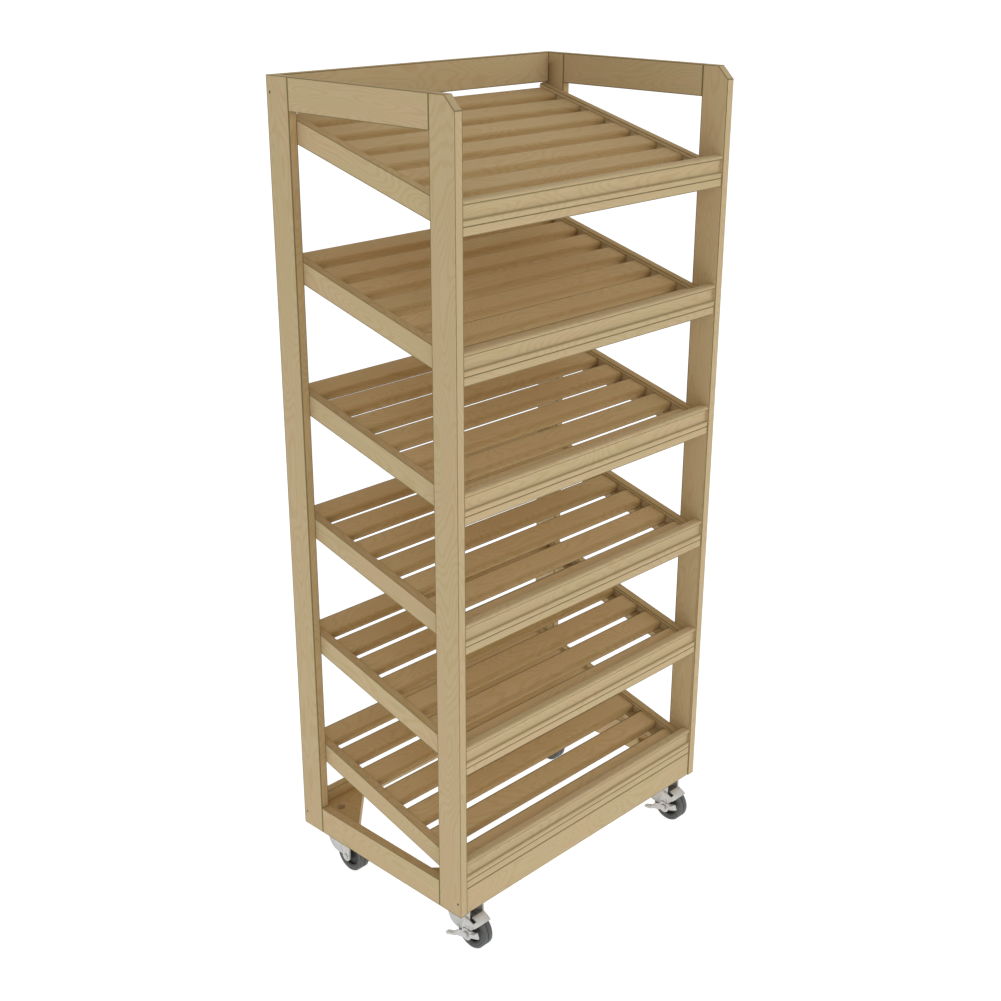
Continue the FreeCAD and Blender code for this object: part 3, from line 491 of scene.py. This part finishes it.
trayPlan = {
    "pitch": 254.9948, "lowest": 262.031, "middle": 10.25, "rearAlong": 237.2375,
    "slatTop": -8.0, "slatPitch": 70.1028,
}
slatPlan = {
    "halfLength": 340.0, "width": 50.0, "thickness": 18.0, "round": 6.0, "roundSteps": 6,
    "row": 6, "seed": 11, "frontSeed": 16,
    # Painted shade: dark lines along the rear rounding, and the front rounding and front face
    # darker than the top.
    "marks": {"eased": {2: 1.0, 3: 1.0, 4: 1.0, 5: 1.0, 6: 0.95, 7: 0.3},
              "faceShade": {9: 0.2, 10: 0.3, 11: 0.35, 12: 0.35, 13: 0.35, 14: 0.35, 15: 0.35}},
}
railPlan = {
    "halfLength": 355.0, "front": -227.75, "thickness": 18.0, "height": 60.0,
    "lowestTop": 218.5, "lip": 7.3, "lipRound": 5.0, "lipSteps": 6, "step": 3.5,
    "coveHeight": 26.1, "coveRadius": 30.0, "coveSteps": 12,
    "bead": 9.3, "beadRound": 2.5, "beadSteps": 5, "groove": 1.6, "grooveDepth": 1.0,
    "seed": 23,
    # Painted shade under the lip, over the bead and in the groove.
    "marks": {"eased": {7: 1.0, 8: 0.7, 18: 0.25, 19: 0.7, 26: 0.8, 27: 0.8}},
}
rowTree = makeRowTree()
onAllTrays = {"Trays": len(trayNames), "Tray Pitch": trayPlan["pitch"] * mm}


# Where a point of the lowest tray is in the rack, along its slope and square to it.
def onTray(along, level):
    cosine, sine = math.cos(slope), math.sin(slope)
    return (0.0, (trayPlan["middle"] + along * cosine - level * sine) * mm,
            (trayPlan["lowest"] + along * sine + level * cosine) * mm)


def makeSlats():
    half = slatPlan["width"] / 2
    corner, steps = slatPlan["round"], slatPlan["roundSteps"]
    profile = [(-half, -slatPlan["thickness"]), (half, -slatPlan["thickness"])]
    profile += arcPoints(half - corner, -corner, corner, 0, 90, steps)
    profile += arcPoints(corner - half, -corner, corner, 90, 180, steps)
    slats = makeProfileBoard("traySlats", profile, slatPlan["halfLength"], slatPlan["marks"])
    finishWithNodes(slats, rowTree, {
        **onAllTrays, "Copies": slatPlan["row"], "Spacing": trayPlan["slatPitch"] * mm,
        "Slope": slope, "Lowest": onTray(trayPlan["rearAlong"] - half, trayPlan["slatTop"]),
        "Seed": slatPlan["seed"], "Material": shadedSlatBirch})
    return slats


# The narrow slat in front is cut upright where it meets the front rail.
def makeFrontSlats():
    rear = trayPlan["rearAlong"] - trayPlan["slatPitch"] * slatPlan["row"]
    top = trayPlan["slatTop"]
    low = top - slatPlan["thickness"]
    railBack = railPlan["front"] + railPlan["thickness"] - trayPlan["middle"]

    def frontAlong(level):
        return (railBack + level * math.sin(slope)) / math.cos(slope)

    corner = slatPlan["round"]
    profile = [(frontAlong(low), low), (rear, low)]
    profile += arcPoints(rear - corner, top - corner, corner, 0, 90, slatPlan["roundSteps"])
    profile.append((frontAlong(top), top))
    slats = makeProfileBoard("frontSlats", profile, slatPlan["halfLength"],
                             {"eased": slatPlan["marks"]["eased"]})
    finishWithNodes(slats, rowTree, {
        **onAllTrays, "Copies": 1, "Spacing": 0.0, "Slope": slope, "Lowest": onTray(0, 0),
        "Seed": slatPlan["frontSeed"], "Material": shadedSlatBirch})
    return slats


# The moulded rail, from the top down: a round lip, a cove, a bead and a groove.
def makeFrontRails():
    plan = railPlan
    lipRound, beadRound = plan["lipRound"], plan["beadRound"]
    coveTop = -plan["lip"]
    coveEnd = coveTop - plan["coveHeight"]
    beadEnd = coveEnd - plan["bead"]
    # The cove's arc runs from the step under the lip to the top of the bead.
    chordY = beadRound - plan["step"]
    chord = math.hypot(chordY, plan["coveHeight"])
    inward = math.sqrt(plan["coveRadius"] ** 2 - (chord / 2) ** 2)
    middle = Vector(((plan["step"] + beadRound) / 2, (coveTop + coveEnd) / 2))
    outward = Vector((-plan["coveHeight"], -chordY)).normalized()
    centre = middle + outward * inward
    first = math.degrees(math.atan2(coveTop - centre.y, plan["step"] - centre.x))
    last = math.degrees(math.atan2(coveEnd - centre.y, beadRound - centre.x))
    profile = arcPoints(lipRound, -lipRound, lipRound, 90, 180, plan["lipSteps"])
    profile += [(0, coveTop)]
    profile += arcPoints(centre.x, centre.y, plan["coveRadius"], first, last, plan["coveSteps"])
    profile += arcPoints(beadRound, coveEnd - beadRound, beadRound, 90, 180,
                         plan["beadSteps"])[1:]
    profile += [(0, beadEnd), (plan["grooveDepth"], beadEnd - plan["groove"] / 2),
                (0, beadEnd - plan["groove"]), (0, -plan["height"]),
                (plan["thickness"], -plan["height"]), (plan["thickness"], 0)]
    rails = makeProfileBoard("frontRails", profile, plan["halfLength"], plan["marks"])
    finishWithNodes(rails, rowTree, {
        **onAllTrays, "Copies": 1, "Spacing": 0.0, "Slope": 0.0,
        "Lowest": (0.0, plan["front"] * mm, plan["lowestTop"] * mm), "Seed": plan["seed"],
        "Material": clearBirch})
    return rails


slats = makeSlats()
frontSlats = makeFrontSlats()
frontRails = makeFrontRails()
for piece in (slats, frontSlats, frontRails):
    smoothCurves(piece.data, smoothBelow["board"])
    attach(piece, "rack")
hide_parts(*[f"{name}_slats" for name in trayNames])
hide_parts(*[f"{name}_front_rail" for name in trayNames])
print("slats and front rails made")


# Screws, with a cross recess in the countersunk head.

screwPlan = {
    "head": 2.5, "headEase": 0.3, "headRim": 0.7, "headHeight": 3.0, "shank": 1.5,
    "length": 46.0, "point": 4.0, "tip": 0.05, "sides": 24,
    "crossWaist": 0.45, "crossArm": 1.0, "crossDepth": 1.1, "crossTaper": 0.55, "armPower": 3,
    "recess": 1.0, "across": 373.0, "seed": 3,
    # Depth and height of the holes in the outer face of a side frame.
    "holes": [(-221.75, 129.5), (241.25, 130.5), (241.25, 1630.5)],
}


# A screw along X, from the face of its head to its point.
def makeScrew():
    plan = screwPlan
    outline = [(plan["head"] - plan["headEase"], 0.0), (plan["head"], plan["headEase"]),
               (plan["head"], plan["headRim"]), (plan["shank"], plan["headHeight"]),
               (plan["shank"], plan["length"] - plan["point"]), (plan["tip"], plan["length"])]
    angles = [math.tau * k / plan["sides"] for k in range(plan["sides"])]
    arms = [plan["crossWaist"] + plan["crossArm"] * abs(math.cos(2 * angle)) ** plan["armPower"]
            for angle in angles]
    work = bmesh.new()

    def ring(depth, radii):
        return [work.verts.new((depth * mm, radius * math.cos(angle) * mm,
                                radius * math.sin(angle) * mm))
                for radius, angle in zip(radii, angles)]

    # The cross is narrower at its floor than at the face of the head.
    rings = [ring(plan["crossDepth"], [plan["crossTaper"] * arm for arm in arms]),
             ring(0.0, arms)]
    rings += [ring(depth, [radius] * plan["sides"]) for radius, depth in outline]
    for inner, outer in zip(rings, rings[1:]):
        for k in range(plan["sides"]):
            after = (k + 1) % plan["sides"]
            work.faces.new((inner[k], inner[after], outer[after], outer[k]))
    work.faces.new(list(reversed(rings[0])))
    work.faces.new(rings[-1])
    bmesh.ops.recalc_face_normals(work, faces=work.faces)
    return newObject("frameScrews", meshFrom("frameScrews", work))


def makeScrewTree():
    tree, given = startTree("screws in holes", {
        "Places": "NodeSocketObject", "Seed": "NodeSocketInt",
        "Material": "NodeSocketMaterial"})
    holes = addNode(tree, "GeometryNodeObjectInfo", {"Object": given["Places"]})
    turn = addNode(tree, "GeometryNodeInputNamedAttribute", {"Name": "turn"}, data_type="FLOAT")
    facing = addNode(tree, "ShaderNodeCombineXYZ", {"Z": turn.outputs[0]})
    copiesOnPoints(tree, given["Geometry"], holes.outputs["Geometry"], facing.outputs[0],
                   given["Seed"], given["Material"])
    return tree


def makeScrews():
    plan = screwPlan
    outside = (plan["across"] - plan["recess"]) * mm
    holes = bpy.data.meshes.new("screwHoles")
    holes.from_pydata([(side * outside, y * mm, z * mm) for side in (-1, 1)
                       for y, z in plan["holes"]], [], [])
    turn = holes.attributes.new("turn", "FLOAT", "POINT")
    perSide = len(plan["holes"])
    turn.data.foreach_set("value", [0.0] * perSide + [math.pi] * perSide)
    places = newObject("screwHoles", holes)
    screws = makeScrew()
    finishWithNodes(screws, makeScrewTree(), {
        "Places": places, "Seed": plan["seed"], "Material": yellowScrew})
    bpy.data.objects.remove(places)
    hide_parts("frame_screws")
    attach(screws, "rack")


makeScrews()
print("screws made")


# Casters.

casterPlan = {
    "kings": {"front_left": (-317.0, -177.75), "front_right": (317.0, -177.75),
              "rear_left": (-317.0, 194.25), "rear_right": (317.0, 194.25)},
    "trail": 35.0, "axleHeight": 37.5,
    "eases": {"fork": 0.5, "axle": 0.4, "lever": 0.5, "shoe": 0.4, "stems": 0.5},
}
steelEdge = {"segments": 1, "profile": 0.5, "sharp": 35, "shortest": 0.2, "share": 0.3,
             "clamp": True}


# A pressed or turned steel piece: the solid with a small round on every edge, the rounds
# darkened with painted shade.
def makeSteel(node, body, ease):
    steel = newObject(camelName(node), copyOfNode(node))
    easeEdges(steel, dict(steelEdge, ease=ease), brightZinc)
    smoothCurves(steel.data, smoothBelow["steel"])
    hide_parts(node)
    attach(steel, body)


# A turned piece about the axle, from a closed outline whose second half mirrors its first. The
# points are distance from the middle and radius. Darker says how much the faces that follow
# them are darkened.
def spinRound(name, outline, sides, place, darker):
    work = bmesh.new()
    eased = work.faces.layers.float.new("eased")
    loops = []
    for k in range(sides):
        angle = math.tau * k / sides
        loops.append([work.verts.new((place.x + x * mm, place.y + r * math.cos(angle) * mm,
                                      place.z + r * math.sin(angle) * mm)) for x, r in outline])
    for k in range(sides):
        here, following = loops[k], loops[(k + 1) % sides]
        for index in range(len(outline)):
            after = (index + 1) % len(outline)
            face = work.faces.new((here[index], here[after], following[after],
                                   following[index]))
            face[eased] = darker.get(min(index, len(outline) - 2 - index), 0.0)
    bmesh.ops.recalc_face_normals(work, faces=work.faces)
    piece = newObject(name, meshFrom(name, work))
    smoothCurves(piece.data, smoothBelow["turned"])
    return piece


tyrePlan = {
    "radius": 37.5, "half": 12.0, "seat": 27.05, "seatHalf": 10.0,
    "shoulder": 1.2, "shoulderSteps": 6,
    "groove": 0.75, "grooveDepth": 0.8, "grooveSlope": 0.3,
    # The shallow ring in the sidewall, from its inner radius out.
    "ring": 31.0, "ringDepth": 0.7, "ringWidth": 1.6, "ringSlope": 0.4,
    "sides": 72,
    # Painted shade in the ring and the groove, and on the shoulder and the tread.
    "darker": {2: 0.5, 3: 1.0, 4: 0.5, 6: 0.5, 7: 0.5, 8: 0.5, 9: 0.5, 10: 0.5, 11: 0.5,
               12: 0.25, 13: 0.9, 14: 1.0},
}


def makeTyre(name, place):
    plan = tyrePlan
    half, radius, shoulder = plan["half"], plan["radius"], plan["shoulder"]
    bevel = half - plan["seatHalf"]
    ringIn, ringOut = plan["ring"], plan["ring"] + plan["ringWidth"]
    ringFloor = half - plan["ringDepth"]
    side = [(plan["seatHalf"], plan["seat"]), (half, plan["seat"] + bevel),
            (half, ringIn), (ringFloor, ringIn + plan["ringSlope"]),
            (ringFloor, ringOut - plan["ringSlope"]), (half, ringOut)]
    side += arcPoints(half - shoulder, radius - shoulder, shoulder, 0, 90,
                      plan["shoulderSteps"])
    side += [(plan["groove"] + plan["grooveSlope"], radius),
             (plan["groove"], radius - plan["grooveDepth"])]
    outline = side + [(-x, r) for x, r in reversed(side)]
    tyre = spinRound(camelName(f"{name}_tyre"), outline, plan["sides"], place, plan["darker"])
    tyre.data.materials.append(greyRubber)
    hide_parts(f"{name}_tyre")
    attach(tyre, f"{name}_wheel")


# Half the section of a hub, from the bore over the boss, the web and the rim to the seat of the
# tyre: distance from the middle and radius.
hubPlan = {
    "bore": [(16.8, 4.05), (17.2, 4.45)],
    "boss": [(16.8, 7.4), (16.3, 8.4), (6.0, 9.6), (4.5, 10.8)],
    "web": [(4.0, 12.5), (4.0, 21.0)],
    "rim": [(4.6, 22.8), (6.0, 23.6), (9.5, 24.0), (10.0, 24.5), (10.0, 27.0)],
    "sides": 72,
}


def makeHub(name, place):
    plan = hubPlan
    half = plan["bore"] + plan["boss"] + plan["web"] + plan["rim"]
    outline = half + [(-x, r) for x, r in reversed(half)]
    hub = spinRound(camelName(f"{name}_hub"), outline, plan["sides"], place, {})
    hub.data.materials.append(blackNylon)
    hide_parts(f"{name}_hub")
    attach(hub, f"{name}_wheel")


eases = casterPlan["eases"]
for name, (x, y) in casterPlan["kings"].items():
    axle = Vector((x, y - casterPlan["trail"], casterPlan["axleHeight"])) * mm
    makeTyre(name, axle)
    makeHub(name, axle)
    makeSteel(f"{name}_fork", f"{name}_swivel", eases["fork"])
    makeSteel(f"{name}_axle", f"{name}_swivel", eases["axle"])
    if name.startswith("front"):
        makeSteel(f"{name}_brake_lever", f"{name}_lever", eases["lever"])
        makeSteel(f"{name}_brake_shoe", f"{name}_shoe", eases["shoe"])
makeSteel("caster_stems", "rack", eases["stems"])
print("casters made")


# The camera, the light and the floor.

# Back points from the rack to the camera.
cameraPlan = {"place": (-2.0291, -1.9303, 1.9109), "back": (-0.6700, -0.6461, 0.3656),
              "up": (0.2608, 0.2561, 0.9308), "lens": 52.81, "sensor": 36.0}


def aimed(place, back, up):
    back = Vector(back).normalized()
    right = Vector(up).cross(back).normalized()
    turned = Matrix((right, back.cross(right), back)).transposed().to_4x4()
    turned.translation = place
    return turned


def makeCamera(plan):
    lens = bpy.data.cameras.new("rackCamera")
    lens.lens = plan["lens"]
    lens.sensor_width = plan["sensor"]
    camera = newObject("rackCamera", lens)
    camera.matrix_world = aimed(plan["place"], plan["back"], plan["up"])
    bpy.context.scene.camera = camera


# Round soft lights that face the middle of the rack. Places and sizes are metres.
softLights = {
    "frontLeft": {"place": (-3.2, -3.0, 3.0), "size": 3.2, "watts": 19.5,
                  "colour": (1.0, 1.01, 1.06)},
    "frontRight": {"place": (1.8, -3.8, 3.2), "size": 3.0, "watts": 25.5,
                   "colour": (1.0, 1.01, 1.07)},
    "floorPanel": {"place": (0.0, 0.0, 0.001), "size": 14.0, "watts": 335.0,
                   "colour": (0.92, 1.0, 1.13)},
}
lightTarget = Vector((0, 0, 0.8))
lightUp = (0, 0.01, 1)        # a little off upright, for the panel straight under the target


def makeLights(plans):
    for name, plan in plans.items():
        lamp = bpy.data.lights.new(name, "AREA")
        lamp.energy = plan["watts"]
        lamp.color = plan["colour"]
        lamp.shape = "DISK"
        lamp.size = plan["size"]
        light = newObject(name, lamp)
        light.visible_camera = False
        place = Vector(plan["place"])
        light.matrix_world = aimed(place, place - lightTarget, lightUp)


roomLight = {"backdrop": 1.0, "walls": 0.5, "ceiling": 0.57,
             "wallColour": (1.08, 0.965, 0.68, 1.0), "ceilingColour": (0.95, 1.0, 1.1, 1.0)}


# White where the camera or a reflection looks at it. Its light is that of pale walls under a
# cooler, slightly brighter ceiling.
def makeWorld(plan):
    world = bpy.data.worlds.new("paleRoom")
    bpy.context.scene.world = world
    world.use_nodes = True
    tree = world.node_tree
    tree.nodes.clear()
    path = addNode(tree, "ShaderNodeLightPath")
    shown = addNode(tree, "ShaderNodeMath", {
        0: path.outputs["Is Camera Ray"], 1: path.outputs["Is Glossy Ray"]}, operation="MAXIMUM")
    outwards = addNode(tree, "ShaderNodeTexCoord")
    height = addNode(tree, "ShaderNodeSeparateXYZ", {0: outwards.outputs["Generated"]})
    strength = addNode(tree, "ShaderNodeMapRange", {
        "Value": height.outputs["Z"], "From Min": 0.0, "From Max": 1.0,
        "To Min": plan["walls"], "To Max": plan["ceiling"]})
    tint = addNode(tree, "ShaderNodeMix", {
        "Factor": height.outputs["Z"], 6: plan["wallColour"], 7: plan["ceilingColour"]},
        data_type="RGBA")
    seen = addNode(tree, "ShaderNodeBackground", {
        "Color": linear("#FFFFFF"), "Strength": plan["backdrop"]})
    soft = addNode(tree, "ShaderNodeBackground", {
        "Color": tint.outputs[2], "Strength": strength.outputs[0]})
    mixed = addNode(tree, "ShaderNodeMixShader", {
        0: shown.outputs[0], 1: soft.outputs[0], 2: seen.outputs[0]})
    addNode(tree, "ShaderNodeOutputWorld", {"Surface": mixed.outputs[0]})


# The half width is in metres. SeenPaint and glow are for the camera alone.
floorPlan = {"halfWidth": 40, "paint": "#E9E9E7", "seenPaint": "#A6AAB0", "glow": 0.9}


# A white floor: bright to the eye, pale to the rest, with the rack's own soft shadow.
def makeFloor(plan):
    work = bmesh.new()
    bmesh.ops.create_grid(work, x_segments=1, y_segments=1, size=plan["halfWidth"])
    floor = newObject("paleFloor", meshFrom("paleFloor", work))
    material, tree = newMaterial("palePaintedFloor")
    path = addNode(tree, "ShaderNodeLightPath")
    paint = addNode(tree, "ShaderNodeBsdfDiffuse", {"Color": linear(plan["paint"])})
    seenPaint = addNode(tree, "ShaderNodeBsdfDiffuse", {"Color": linear(plan["seenPaint"])})
    glow = addNode(tree, "ShaderNodeEmission", {
        "Color": linear("#FFFFFF"), "Strength": plan["glow"]})
    both = addNode(tree, "ShaderNodeAddShader", {0: seenPaint.outputs[0], 1: glow.outputs[0]})
    mixed = addNode(tree, "ShaderNodeMixShader", {
        0: path.outputs["Is Camera Ray"], 1: paint.outputs[0], 2: both.outputs[0]})
    addNode(tree, "ShaderNodeOutputMaterial", {"Surface": mixed.outputs[0]})
    floor.data.materials.append(material)


makeCamera(cameraPlan)
makeLights(softLights)
makeWorld(roomLight)
makeFloor(floorPlan)
bpy.context.scene.view_settings.view_transform = "Standard"
print("camera and light set")
